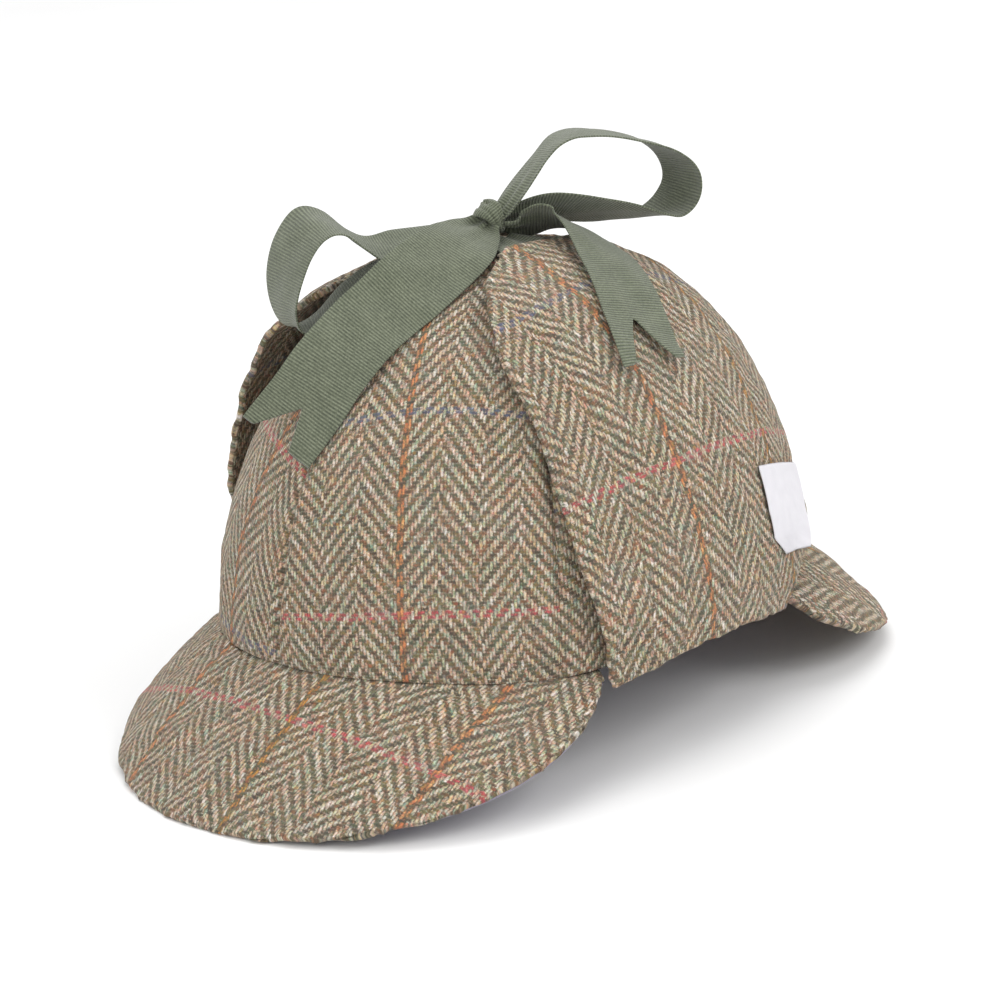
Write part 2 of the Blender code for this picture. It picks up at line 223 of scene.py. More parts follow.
FRONT_TAIL = (
    (1.6, 2.6, 161.0, 9, 0, -14),
    (1.0, -0.8, 158.6, 14.5, -7, -22),
    (2.5, -7.2, 157.8, 20, -9, -26),
    (5.2, -17.0, 156.2, 25, -13, -28),
    (6.1, -36.4, 149.4, 26, -18, -36),
    (4.1, -46.2, 144.0, 25.5, -15, -35),
    (2.5, -57.2, 138.3, 25.5, -16, -33),
    (0.4, -69.7, 129.1, 25.5, -18, -34),
    (-2.1, -78.3, 119.8, 26, -22, -36),
    (-7.5, -88.2, 107.9, 27, -20, -33),
)
REAR_TAIL = (
    (2.2, 6.0, 158.8, 8, 46, 22),
    (4.0, 10.4, 157.6, 11.5, 50, 32),
    (5.0, 13.0, 158.1, 16, 54, 38),
    (6.8, 15.8, 158.4, 21, 54, 38),
    (9.6, 19.4, 158.8, 24, 56, 33),
    (12.9, 22.3, 158.2, 23.5, 61, 28),
    (17.2, 23.6, 156.9, 22.5, 68, 23),
    (22.9, 23.6, 154.8, 22, 76, 19),
    (29.9, 22.0, 151.8, 22, 84, 15),
    (38.6, 18.9, 147.6, 23, 92, 10),
    (47.0, 15.4, 141.8, 23.5, 96, 9),
    (54.8, 11.4, 134.8, 24, 97, 8),
    (62.8, 7.2, 127.9, 24.5, 97, 8),
    (69.4, 4.8, 121.4, 25.5, 94, 2),
)
RIBBON_TIE = (
    (12.4, 6.2, 152.2, 21.5, 88, 0),
    (8.4, 5.8, 152.8, 18.5, 88, 0),
    (2.1, 5.1, 153.9, 13.5, 88, 0),
)

# How each cloth was cut: turn of its grain in degrees, place of its check lines in millimetres, slant of its warp.
CUTS = {
    "gore_0": (-4, 0.7, -19.7, 0),
    "gore_1": (2, 20, 10, 0),
    "gore_2": (-3, 8, 33, 0),
    "gore_3": (3, 31, 5, 0),
    "gore_4": (-2, 14, 25, 0),
    "gore_5": (2.6, -15.1, -68.6, 0),
    "front_peak": (0, -81.5, 118.9, 0.12),
    "rear_peak": (0, 0, 0, 0),
    "left_ear_flap": (179, -7.4, 85.0, 0),
    "right_ear_flap": (181, 12, 40, 0),
}

# Weave: distance from one yarn to the next, and yarns from one band or check line to the next.
END, PICK = 1.06, 1.34
TWILL = 4.0
BAND_ENDS, BAND_SHIFT = 12, 3.0
CHECK_ENDS, CHECK_PICKS = 48, 48
YARN_WAVER = (
    # scale, size, seed
    (0.09, 1.3, 3.0),
    (0.6, 0.32, 5.0),
    (1.9, 0.26, 9.0),
)
YARN_WAVE = 0.75
# How much loose fibres blur which yarn is on top, and the slope and middle of the change from one to the other.
FIBRE_BLUR, TOP_SLOPE, TOP_MIDDLE = 4.6, 0.55, 0.56
RIB, THREAD = 1.0, 0.42

# Unevenness of the wool: swells of its surface and wander of its edges, as rows of size and wavelength.
SWELL = ((0.22, 16), (0.10, 6))
CROWN_SWELL = ((0.2, 16), (0.09, 6))
WANDER = ((0.20, 6.5), (0.14, 2.8))
WANDER_FADE = 4.0
RIPPLE_WAVES, RIPPLE_SIZE = 14, 2.65
SEEDS = {"crown": 5, "front_peak": 10, "rear_peak": 9, "left_ear_flap": 41, "right_ear_flap": 39}

# Studio, in metres, watts and millimetres of lens.
FLOOR_HALF = 6.0
WORLD_LIGHT = 0.82
SOFTBOXES = (
    # place, width, watts
    ((0.4, -2.0, 1.5), 1.6, 17),
    ((1.9, 0.5, 1.5), 1.4, 23),
    ((-0.4, 0.4, 2.2), 1.8, 18),
)
LIGHT_AIM = (0, 0, 0.08)
EYE = (0.8228, -0.7904, 0.4218)
VIEW_RIGHT, VIEW_UP = (0.7074, 0.7034, -0.0701), (-0.1718, 0.2673, 0.9483)
VIEW_AIM, AIM_LEFT, AIM_UP = (0, 0, 0.05), 0.0014, 0.0159
LENS, SENSOR = 130.9, 36


# Numbers and surfaces.


def read_table(rows, key):
    """The other columns of a table at each key, smoothly between its rows."""
    rows = np.array(rows, float)
    x = rows[:, 0]
    key = np.clip(np.asarray(key, float), x[0], x[-1])
    order = np.arange(len(x))
    before, after = np.maximum(order - 1, 0), np.minimum(order + 1, len(x) - 1)
    slopes = (rows[after] - rows[before]) / (x[after] - x[before])[:, None]
    at = np.clip(np.searchsorted(x, key, side="right") - 1, 0, len(x) - 2)
    span = (x[at + 1] - x[at])[..., None]
    t = (key - x[at])[..., None] / span
    low, high = rows[at], rows[at + 1]
    start, end, rise = slopes[at] * span, slopes[at + 1] * span, high - low
    found = low + start * t + (3 * rise - 2 * start - end) * t**2 + (start + end - 2 * rise) * t**3
    return np.moveaxis(found[..., 1:], -1, 0)


def mix(a, b, share):
    return a + (b - a) * share


def stack(*parts):
    return np.stack(np.broadcast_arrays(*parts), axis=-1).astype(float)


def rim_height(angle):
    turned = np.abs(np.degrees(angle)) % 360
    return read_table(RIM, np.minimum(turned, 360 - turned))[0]


def dome_point(angle, climb, out=0.0):
    """Angle from the front towards +X, climb 0 at the rim and pi/2 on top."""
    level = np.maximum(np.cos(climb), 0.0) ** (2 / FULLNESS)
    up = np.sin(climb) ** (2 / FULLNESS)
    rim = rim_height(angle)
    return stack(
        (HALF_WIDTH + out) * np.sin(angle) * level,
        -(HALF_LENGTH + out) * np.cos(angle) * level + APEX_SET_BACK * up,
        rim + (TOP + out - rim) * up,
    )


def outside_dome(point, out):
    x, y, z = np.moveaxis(point, -1, 0)
    rim = rim_height(np.arctan2(x / HALF_WIDTH, -y / HALF_LENGTH))
    up = np.clip((z - rim) / (TOP + out - rim), 0.0, 1.5)
    back = y - APEX_SET_BACK * np.minimum(up, 1.0)
    level = np.hypot(x / (HALF_WIDTH + out), back / (HALF_LENGTH + out))
    return level**FULLNESS + up**FULLNESS - 1


def side_point(side, tilt, y, out):
    ray = stack(side * np.cos(tilt), 0.0, np.sin(tilt))
    start = stack(0.0, y, FLAP_AXIS_HEIGHT)
    ray, start = np.broadcast_arrays(ray, start)
    near, far = np.zeros(ray.shape[:-1]), np.full(ray.shape[:-1], 2 * TOP)
    for _ in range(32):
        middle = (near + far) / 2
        outside = outside_dome(start + ray * middle[..., None], out) > 0
        near, far = np.where(outside, near, middle), np.where(outside, middle, far)
    return start + ray * near[..., None]


def flap_tilt(across, up):
    fold = FLAP_FOLD_HEIGHT + FLAP_FOLD_ARCH * np.sin(math.pi * across) - FLAP_AXIS_HEIGHT
    return mix(fold / HALF_WIDTH, FLAP_TIP_ANGLE, up)


def flap_point(side, across, up, out):
    front, rear = read_table(FLAP_OUTLINE, up)
    lift = read_table(FLAP_LIFT, up)[0 if side > 0 else 1] * (0.35 + 0.65 * np.abs(2 * across - 1))
    return side_point(side, flap_tilt(across, up), mix(front, rear, across), FLAP_GAP + lift + out)


def peak_droop(peak, across, out):
    drop = rim_height(0.0 if peak["heading"] < 0 else math.pi) - SEAM_GAP
    middle_drop = drop + FLOOR_PRESS - peak["thick"] * math.cos(math.asin(drop / peak["length"]))
    fall = peak["fall"] * across**2 + peak["twist"] * across
    return math.asin(middle_drop / peak["length"]) - np.radians(fall) + math.radians(peak["curl"]) * (out - 1)


def peak_top(peak, across, out):
    """A point of a peak's upper face, and its reach from the crown.

    across runs from -1 to 1 along the crown, out from 0 at the crown to 1 at the edge.
    """
    off_middle = across * math.radians(peak["spread"])
    angle = off_middle if peak["heading"] < 0 else math.pi - off_middle
    root = dome_point(angle, 0.0) - (0, 0, SEAM_GAP)
    normal = stack(np.sin(angle) / HALF_WIDTH, -np.cos(angle) / HALF_LENGTH, 0.0)
    normal /= np.linalg.norm(normal, axis=-1, keepdims=True)
    share = np.maximum(1 - np.abs(across) ** PEAK_EDGE_ROUND, 0.0) ** peak["blunt"]
    length = np.maximum(peak["length"] * share, PEAK_CORNER)
    droop = peak_droop(peak, across, out)
    reach = length * out
    return root + (normal * np.cos(droop)[..., None] - stack(0, 0, np.sin(droop))) * reach[..., None], reach


def peak_flat(peak, across, reach):
    """Flat cloth coordinates of a peak, unrolled from its inner edge."""
    middle = 400
    steps = np.linspace(-1, 1, 2 * middle + 1)
    root = peak_top(peak, steps, np.zeros(len(steps)))[0]
    ahead = np.diff(root, axis=0)
    turn = np.unwrap(np.arctan2(ahead[:, 1], ahead[:, 0]))
    level = np.cos(peak_droop(peak, steps[1:-1], PEAK_DROOP_AT))
    bend = np.insert(np.cumsum(np.diff(turn) * PEAK_TURN * level), 0, 0.0)
    bend += turn[middle] - bend[middle]
    path = np.linalg.norm(ahead, axis=-1)[:, None] * stack(np.cos(bend), np.sin(bend))
    path = np.insert(np.cumsum(path, axis=0), 0, 0.0, axis=0)
    path += root[middle, :2] - path[middle]
    x, y = (np.interp(across, steps, path[:, k]) for k in (0, 1))
    turned = np.interp(across, (steps[1:] + steps[:-1]) / 2, bend)
    flip = -peak["heading"]
    return stack(x + flip * reach * np.sin(turned), y - flip * reach * np.cos(turned)) * flip


# Meshes.


def unit(vectors):
    return vectors / np.maximum(np.linalg.norm(vectors, axis=-1, keepdims=True), 1e-9)


def grid_normals(grid):
    return unit(np.cross(np.gradient(grid, axis=1), np.gradient(grid, axis=0)))


def lengths(grid, axis):
    """Distance along the grid from its first row or column."""
    steps = np.linalg.norm(np.diff(grid, axis=axis), axis=-1)
    return np.insert(np.cumsum(steps, axis=axis), 0, 0.0, axis=axis)


def edge_distance(grid, rates=(1, 1, 1, 1)):
    """Distance to the nearest edge: first row, last row, first column, last column, each times its rate."""
    found = []
    for axis in (0, 1):
        gone = lengths(grid, axis)
        found += [gone, np.take(gone, [-1], axis=axis) - gone]
    return np.minimum.reduce([one * rate for one, rate in zip(found, rates)])


def ripple(points, wave, seed):
    """Smooth random vectors of about unit size over points, changing over about a wavelength."""
    dice = np.random.RandomState(seed)
    total = np.zeros_like(points)
    for _ in range(RIPPLE_WAVES):
        run = points @ unit(dice.normal(size=3)) * 2 * math.pi / (wave * dice.uniform(0.7, 1.5))
        total += np.sin(run[..., None] + dice.uniform(0, 2 * math.pi, 3))
    return total / RIPPLE_SIZE


def ripples(points, rows, seed):
    """Ripples of several sizes and wavelengths on top of each other."""
    return sum(size * ripple(points, wave, seed + k) for k, (size, wave) in enumerate(rows))


def worn(grid, seed, rates=(1, 1, 1, 1)):
    """A cloth surface with the slight unevenness of wool: soft swells, and edges that wander.

    The wander fades out towards an edge whose rate is above 1, because that one is sewn.
    """
    normal = grid_normals(grid)
    swell = ripples(grid, SWELL, seed)[..., :1]
    wander = ripples(grid, WANDER, seed + len(SWELL))
    wander -= normal * (wander * normal).sum(-1, keepdims=True)
    free = np.ones(grid.shape[:2])
    for side, rate in enumerate(rates):
        if rate > 1:
            other_edges_far = [1 if k == side else 1e3 for k in range(4)]
            free = np.minimum(free, np.clip(edge_distance(grid, other_edges_far) / WANDER_FADE, 0, 1))
    return grid + normal * swell + wander * free[..., None]


def edged_shares(count, margin):
    """Shares from 0 to 1 with more of them within the margin at both ends."""
    near = margin * np.array([0.0, 0.03, 0.12, 0.28, 0.5, 0.75, 1.0])
    return np.concatenate([near, np.linspace(margin, 1 - margin, count)[1:-1], (1 - near)[::-1]])


def quads(index):
    """Faces of a grid of vertex numbers, seen from the front when rows run up and columns run right."""
    return np.stack([index[:-1, :-1], index[:-1, 1:], index[1:, 1:], index[1:, :-1]], axis=-1).reshape(-1, 4)


def make(name, points, faces, uvs, finishes, finish_of=None):
    """A smooth mesh object from arrays of four corners a face, of which the last two are one in a triangle."""
    points = np.asarray(points, float).reshape(-1, 3).copy()
    points[:, 1] += CENTRE_SHIFT
    used = np.ones(faces.shape, bool)
    used[:, 3] = faces[:, 2] != faces[:, 3]
    mesh = bpy.data.meshes.new(name)
    corners = [row if whole else row[:3] for row, whole in zip(faces.tolist(), used[:, 3])]
    mesh.from_pydata((points * MM).tolist(), [], corners)
    layer = mesh.uv_layers.new(name="cloth")
    layer.data.foreach_set("uv", np.asarray(uvs, np.float32)[used].ravel())
    for finish in finishes:
        mesh.materials.append(finish)
    if finish_of is not None:
        mesh.polygons.foreach_set("material_index", np.asarray(finish_of, np.int32))
    mesh.update()
    mesh.shade_smooth()
    made = bpy.data.objects.new(name, mesh)
    bpy.context.scene.collection.objects.link(made)
    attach(made, "root")
    return made


def slab(name, middle, thick, cloth, finishes, rates=(1, 1, 1, 1)):
    """A sheet of cloth with rounded edges, about its middle surface; a rate above 1 makes that edge sharper."""
    depth = np.clip(edge_distance(middle, rates) / (thick / 2), 0, 1)
    half = (thick / 2 * np.sqrt(1 - (1 - depth) ** 2))[..., None]
    normal = grid_normals(middle)
    rows, wide = middle.shape[:2]
    front = np.arange(rows * wide).reshape(rows, wide)
    back = front + rows * wide
    back[0], back[-1], back[:, 0], back[:, -1] = front[0], front[-1], front[:, 0], front[:, -1]
    points = np.concatenate([(middle + normal * half).reshape(-1, 3), (middle - normal * half).reshape(-1, 3)])
    points[:, 2] = np.maximum(points[:, 2], 0.0)
    used, faces = np.unique(np.concatenate([quads(front), quads(back)[:, ::-1]]), return_inverse=True)
    faces = faces.reshape(-1, 4)
    grid = np.arange(rows * wide).reshape(rows, wide)
    flat = cloth.reshape(-1, 2)
    uvs = np.concatenate([flat[quads(grid)], flat[quads(grid)[:, ::-1]]])
    side = np.repeat([0, len(finishes) - 1], len(faces) // 2)
    return make(name, points[used], faces, uvs, finishes, side)


def cut_cloth(piece, flat):
    """Cloth coordinates from flat ones, by how the piece was cut."""
    turn, across, up, slant = CUTS[piece]
    c, s = math.cos(math.radians(turn)), math.sin(math.radians(turn))
    return flat @ np.array([[c, s], [-s - slant, c]]) + (across, up)


# Materials.


def rgb(*screen):
    """A colour given as on a screen, 0 to 255."""
    shares = (channel / 255 for channel in screen)
    return tuple(c / 12.92 if c <= 0.04045 else ((c + 0.055) / 1.055) ** 2.4 for c in shares) + (1,)


class Graph:
    """A procedural material whose nodes are written as short calls."""

    def __init__(self, name):
        self.material = bpy.data.materials.new(name)
        self.material.use_nodes = True
        self.tree = self.material.node_tree
        self.shader = self.tree.nodes["Principled BSDF"]

    def feed(self, socket, value):
        if isinstance(value, bpy.types.NodeSocket):
            self.tree.links.new(value, socket)
        else:
            socket.default_value = value

    def node(self, kind, inputs, **settings):
        made = self.tree.nodes.new(kind)
        for key, value in settings.items():
            setattr(made, key, value)
        for key, value in inputs.items():
            self.feed(made.inputs[key], value)
        return made

    def math(self, operation, *terms, clamp=False):
        made = self.node("ShaderNodeMath", dict(enumerate(terms)), operation=operation, use_clamp=clamp)
        return made.outputs[0]

    def add(self, *terms):
        total = terms[0]
        for term in terms[1:]:
            total = self.math("ADD", total, term)
        return total

    def times(self, a, b):
        return self.math("MULTIPLY", a, b)

    def about_zero(self, share):
        """A value around 0.5 moved to around zero."""
        return self.math("SUBTRACT", share, 0.5)

    def xyz(self, x, y, z=0.0):
        return self.node("ShaderNodeCombineXYZ", {0: x, 1: y, 2: z}).outputs[0]

    def noise(self, x, y, z=0.0, detail=2.0, roughness=0.5):
        inputs = {"Vector": self.xyz(x, y, z), "Scale": 1.0, "Detail": detail, "Roughness": roughness}
        return self.node("ShaderNodeTexNoise", inputs).outputs["Fac"]

    def white(self, x, y, z=0.0):
        return self.node("ShaderNodeTexWhiteNoise", {"Vector": self.xyz(x, y, z)}).outputs["Value"]

    def cells(self, x, y, z, scale):
        """A random value for each cell, and how far a point is from its cell's middle."""
        made = self.node("ShaderNodeTexVoronoi", {"Vector": self.xyz(x, y, z), "Scale": scale})
        return self.node("ShaderNodeSeparateColor", {0: made.outputs["Color"]}).outputs[0], made.outputs["Distance"]

    def ramp(self, share, colours):
        made = self.node("ShaderNodeValToRGB", {"Fac": share})
        stops = made.color_ramp.elements
        while len(stops) < len(colours):
            stops.new(0.5)
        for i, colour in enumerate(colours):
            stops[i].position = i / (len(colours) - 1)
            stops[i].color = rgb(*colour)
        return made.outputs["Color"]

    def blend(self, share, a, b, kind="MIX"):
        made = self.node("ShaderNodeMix", {0: share, 6: a, 7: b}, data_type="RGBA", blend_type=kind)
        return made.outputs[2]

    def cloth(self):
        uv = self.node("ShaderNodeUVMap", {}, uv_map="cloth").outputs[0]
        parts = self.node("ShaderNodeSeparateXYZ", {0: uv}).outputs
        return parts[0], parts[1]

    def finish(self, colour, height, distance, roughness=0.9, sheen=0.2, specular=0.2):
        bump = self.node("ShaderNodeBump", {"Height": height, "Distance": distance * MM, "Strength": 1.0})
        self.feed(self.shader.inputs["Normal"], bump.outputs[0])
        self.feed(self.shader.inputs["Base Color"], colour)
        self.feed(self.shader.inputs["Roughness"], roughness)
        self.shader.inputs["Sheen Weight"].default_value = sheen
        self.shader.inputs["Sheen Roughness"].default_value = 0.5
        self.shader.inputs["Specular IOR Level"].default_value = specular
        return self.material


# Colours as on a screen.
LIGHT_YARNS = (
    (209, 202, 199), (187, 178, 173), (192, 199, 189), (214, 192, 188),
    (175, 168, 161), (223, 216, 215), (203, 185, 163), (173, 179, 177),
)
DARK_YARNS = (
    (78, 63, 44), (88, 90, 58), (66, 74, 56), (130, 92, 58), (72, 60, 41),
    (126, 110, 64), (88, 100, 76), (56, 48, 36), (118, 96, 69), (76, 84, 90),
)
FIBRES = (
    (106, 102, 94), (150, 178, 140), (224, 222, 214), (208, 158, 134),
    (126, 170, 156), (236, 232, 228), (206, 186, 124), (124, 138, 152),
)
NEPS = ((62, 98, 100), (168, 84, 44), (92, 112, 56), (196, 146, 60), (134, 62, 56), (236, 226, 206))
ORANGE_YARNS = ((216, 158, 110), (194, 132, 88), (222, 178, 134))
MUSTARD_YARNS = ((202, 154, 72), (176, 130, 62), (208, 172, 104))
RED_YARNS = ((190, 82, 97), (164, 64, 81), (206, 122, 127))
BLUE_YARNS = ((84, 96, 138), (68, 78, 114), (116, 122, 152))
TINTS = ((112, 164, 146), (150, 158, 172), (150, 146, 148), (190, 146, 138), (174, 160, 134))
# The warp gap colour is painted shade between the light yarns; the weft gap colour is fuzz, the haze loose wool.
WARP_GAP_SHADE, WEFT_GAP, HAZE = (88, 82, 74), (158, 150, 134), (162, 152, 146)
RIBBON_COLOURS = ((60, 66, 52), (100, 106, 86), (140, 145, 124))
LABEL_COLOURS = ((206, 204, 210), (238, 236, 240))
LINING_COLOURS = ((128, 122, 138), (176, 170, 186))
FLOOR_COLOURS = ((236, 236, 236), (242, 242, 242))


def tweed(name):
    """Herringbone of light warp and dark weft yarns, with an overcheck of single coloured lines."""
    g = Graph(name)

    # Yarns that waver a little. An end is a warp yarn, which runs up the cloth, and a pick is a weft yarn across it.
    u, v = g.cloth()
    for scale, size, seed in YARN_WAVER:
        across, along = g.times(u, scale), g.times(v, scale)
        u = g.add(u, g.times(g.about_zero(g.noise(across, along, seed)), size))
        v = g.add(v, g.times(g.about_zero(g.noise(across, along, seed + 31.0)), size))
    ends, picks = g.times(u, 1 / END), g.times(v, 1 / PICK)
    end, pick = g.math("FLOOR", ends), g.math("FLOOR", picks)
    end_share, pick_share = g.math("SUBTRACT", ends, end), g.math("SUBTRACT", picks, pick)

    # A twill of two over and two under, whose lean turns over from each band to the next.
    odd = g.math("FLOORED_MODULO", g.math("FLOOR", g.times(end, 1 / BAND_ENDS)), 2.0)
    lean = g.math("SUBTRACT", g.times(odd, 2.0), 1.0)
    order = g.add(g.times(end, lean), pick, g.times(odd, BAND_SHIFT))
    step = g.math("FLOORED_MODULO", order, TWILL)
    float_number = g.math("FLOOR", g.times(order, 1 / TWILL))
    middle_share = g.about_zero(end_share)
    quarter = 2 * math.pi / TWILL
    warp_wave = g.math("SINE", g.times(g.add(step, pick_share), quarter))
    weft_wave = g.math("SINE", g.times(g.add(step, 2.5, g.times(lean, middle_share)), quarter))
    warp_round = g.math("SINE", g.times(end_share, math.pi))
    weft_round = g.math("SINE", g.times(pick_share, math.pi))
    warp_height = g.add(g.times(warp_wave, YARN_WAVE), warp_round)
    weft_height = g.add(g.times(weft_wave, YARN_WAVE), weft_round)
    fibre = g.noise(g.times(u, 2.6), g.times(v, 2.0), 11.0, detail=3.0, roughness=0.65)
    lead = g.add(g.math("SUBTRACT", warp_height, weft_height), g.times(g.about_zero(fibre), FIBRE_BLUR))
    warp_on_top = g.math("MULTIPLY_ADD", lead, TOP_SLOPE, TOP_MIDDLE, clamp=True)
    height = g.math("MAXIMUM", warp_height, weft_height)

    # Each yarn's colour: partly new at each float, partly the yarn's own, which drifts along it.
    fresh, own, drift = 0.55, 3.7, 0.09
    light_share = g.add(
        g.times(g.white(end, float_number, 1.0), fresh),
        g.times(g.noise(g.times(end, own), g.times(picks, drift), 2.0), 1.0),
        -0.27,
    )
    dark_share = g.add(
        g.times(g.white(float_number, pick, 4.0), fresh),
        g.times(g.noise(g.times(ends, drift), g.times(pick, own), 6.0), 1.2),
        -0.36,
    )
    light, dark = g.ramp(light_share, LIGHT_YARNS), g.ramp(dark_share, DARK_YARNS)

    # Check lines two yarns wide: at the first two yarns of a repeat, and at the two halfway.
    lane = g.math("FLOORED_MODULO", end, 2.0 * CHECK_ENDS)
    row = g.math("FLOORED_MODULO", pick, 2.0 * CHECK_PICKS)
    light = g.blend(g.math("LESS_THAN", lane, 1.5), light, g.ramp(light_share, ORANGE_YARNS))
    light = g.blend(g.math("COMPARE", lane, CHECK_ENDS + 0.5, 0.9), light, g.ramp(light_share, MUSTARD_YARNS))
    dark = g.blend(g.math("LESS_THAN", row, 1.5), dark, g.ramp(dark_share, RED_YARNS))
    dark = g.blend(g.math("COMPARE", row, CHECK_PICKS + 0.5, 0.9), dark, g.ramp(dark_share, BLUE_YARNS))

    # Gaps beside the yarns, with painted shade, then mottled fibres, neps, and a tint that changes over the cloth.
    # Painted shade darkens the light yarns towards the gaps; light fuzz lifts the dark yarns there.
    light = g.blend(g.times(g.math("SUBTRACT", 1.0, warp_round), 0.32), light, rgb(*WARP_GAP_SHADE))
    dark = g.blend(g.times(g.math("SUBTRACT", 1.0, weft_round), 0.45), dark, rgb(*WEFT_GAP))
    colour = g.blend(warp_on_top, dark, light)
    for scale, seed, share in ((1.3, 2.0, 0.5), (2.8, 7.0, 0.6)):
        mottle = g.ramp(g.cells(u, g.times(v, 0.7), seed, scale)[0], FIBRES)
        colour = g.blend(share, colour, mottle, "OVERLAY")
    kind, far = g.cells(u, v, 5.0, 0.5)
    nep = g.times(g.math("LESS_THAN", kind, 0.28), g.math("LESS_THAN", far, 0.3))
    colour = g.blend(g.times(nep, 0.6), colour, g.ramp(g.times(kind, 3.6), NEPS))
    tint = g.ramp(g.noise(g.times(u, 0.16), g.times(v, 0.16), 21.0), TINTS)
    colour = g.blend(0.75, colour, tint, "SOFT_LIGHT")

    # Shade: lighter on top of the yarns, with the grain of single fibres, under a haze of loose wool.
    grit = g.white(g.math("FLOOR", g.times(u, 2.1)), g.math("FLOOR", g.times(v, 1.7)), 8.0)
    shade = g.add(
        0.46,
        g.times(g.math("MAXIMUM", height, 0.0), 0.21),
        g.times(g.about_zero(fibre), 1.3),
        g.times(grit, 0.16),
        g.times(g.math("LESS_THAN", grit, 0.14), -0.16),
    )
    colour = g.blend(1.0, colour, g.xyz(shade, shade, shade), "MULTIPLY")
    haze = g.add(0.06, g.times(g.noise(g.times(u, 0.05), g.times(v, 0.05), 14.0), 0.2))
    colour = g.blend(haze, colour, rgb(*HAZE))
    relief = g.add(g.times(height, 0.8), g.times(fibre, 0.8))
    return g.finish(colour, relief, 0.2, roughness=0.95, sheen=0.1, specular=0.1)


def grosgrain(name):
    """Ribbed ribbon: ribs run across its width."""
    g = Graph(name)
    u, v = g.cloth()
    wave = g.about_zero(g.noise(g.times(u, 0.25), g.times(v, 0.25), 2.0))
    rib = g.math("SINE", g.times(g.add(v, g.times(wave, 0.35)), 2 * math.pi / RIB))
    thread = g.math("SINE", g.times(u, 2 * math.pi / THREAD))
    patch = g.noise(g.times(u, 0.12), g.times(v, 0.12), 9.0, detail=3.0)
    speck = g.white(g.math("FLOOR", g.times(u, 2.4)), g.math("FLOOR", g.times(v, 2.0)), 3.0)
    # The ribs darken the colour in their grooves, as painted shade; patches and specks are the ribbon's own tone.
    share = g.add(0.36, g.times(rib, 0.24), g.times(thread, 0.05), g.times(patch, 0.3), g.times(speck, 0.26), -0.24)
    relief = g.add(g.times(rib, 0.55), g.times(thread, 0.12), g.times(patch, 0.5))
    return g.finish(g.ramp(share, RIBBON_COLOURS), relief, 0.16, roughness=0.72, sheen=0.25, specular=0.3)


def label_weave(name):
    """Fine plain weave with a faint mottle."""
    g = Graph(name)
    u, v = g.cloth()
    across, along = g.math("SINE", g.times(u, 2 * math.pi / 0.5)), g.math("SINE", g.times(v, 2 * math.pi / 0.4))
    patch = g.noise(g.times(u, 0.2), g.times(v, 0.2), 1.0)
    share = g.add(0.3, g.times(g.times(across, along), 0.25), g.times(patch, 0.5))
    return g.finish(g.ramp(share, LABEL_COLOURS), g.add(across, along), 0.05, roughness=0.7, sheen=0.1, specular=0.3)


def lining_weave(name):
    """Smooth twill with a slow change of shade."""
    g = Graph(name)
    u, v = g.cloth()
    twill = g.math("SINE", g.times(g.add(u, v), 2 * math.pi / 0.6))
    patch = g.noise(g.times(u, 0.08), g.times(v, 0.08), 4.0)
    share = g.add(0.2, g.times(twill, 0.12), g.times(patch, 0.6))
    relief = g.add(g.times(twill, 0.4), patch)
    return g.finish(g.ramp(share, LINING_COLOURS), relief, 0.06, roughness=0.5, sheen=0.1, specular=0.4)


def floor_paint(name):
    """Plain matt paint, very slightly uneven."""
    g = Graph(name)
    place = g.node("ShaderNodeTexCoord", {}).outputs["Object"]
    grain = g.node("ShaderNodeTexNoise", {"Vector": place, "Scale": 6.0, "Detail": 3.0}).outputs["Fac"]
    return g.finish(g.ramp(grain, FLOOR_COLOURS), grain, 0.02, roughness=0.9, sheen=0.0)


# Pieces.


def crown_columns():
    """Angles of one gore's columns, closer together beside its seams."""
    half = math.pi / GORES
    near = np.radians([0, 0.25, 0.55, 0.9, 1.3, 1.8, 2.5, 3.5])
    inner = np.linspace(near[-1], 2 * half - near[-1], 26)[1:-1]
    return np.concatenate([near, inner, (2 * half - near)[::-1]])


def dome_arc(angle, climb):
    """Length up the crown from its rim to a climb, at one angle."""
    steps = np.linspace(0, math.pi / 2, 200)
    gone = lengths(dome_point(angle, steps)[None], 1)[0]
    return np.interp(climb, steps, gone)


def crown_rings():
    """Rows round the crown, from the inside's top down, round the rim's edge and up the outside.

    For each row: its climb, how far out of the dome it is, its lift above the rim, and 1 on the tweed but 0 elsewhere.
    """
    climbs = math.pi / 2 * np.concatenate([[0.008, 0.02], np.linspace(0.035, 0.985, 76)])
    rings = [(c, -WALL, 0.0, 0.0) for c in climbs[::-2]]
    lined = sum(ring[0] > 0.12 for ring in rings)
    for k in range(1, RIM_STEPS):
        turn = math.pi * k / RIM_STEPS
        square = math.copysign(abs(math.cos(turn)) ** 0.5, math.cos(turn))
        rings.append((0.0, -WALL / 2 * (1 + square), RIM_ROUND * (1 - math.sin(turn) ** 0.5), 0.0))
    rings += [(c, 0.0, 0.0, 1.0) for c in climbs]
    return [np.array(column)[:, None] for column in zip(*rings)], lined


def crown_grid(turns, climb, out, lift, dress):
    """The crown's points, with the seams' grooves and the wool's unevenness on the outside."""
    grid = dome_point(turns[None], climb, out)
    grid[..., 2] += lift
    seam = np.abs((turns + math.pi / GORES) % (2 * math.pi / GORES) - math.pi / GORES)
    radius = np.hypot(grid[..., 0], grid[..., 1])
    off_seam = seam[None] * radius
    groove = GROOVE_DEPTH * np.exp(-((off_seam / GROOVE_WIDTH) ** 2))
    groove -= WELT_HEIGHT * np.exp(-(((off_seam - WELT_PLACE) / WELT_WIDTH) ** 2))
    groove *= dress * np.clip(radius / SEAM_FADE, 0, 1)
    around = np.roll(grid, -1, 1) - np.roll(grid, 1, 1)
    normal = unit(np.cross(around, np.gradient(grid, axis=0)))
    swell = ripples(grid, CROWN_SWELL, SEEDS["crown"])[..., :1]
    return grid + normal * (swell * dress[..., None] - groove[..., None])


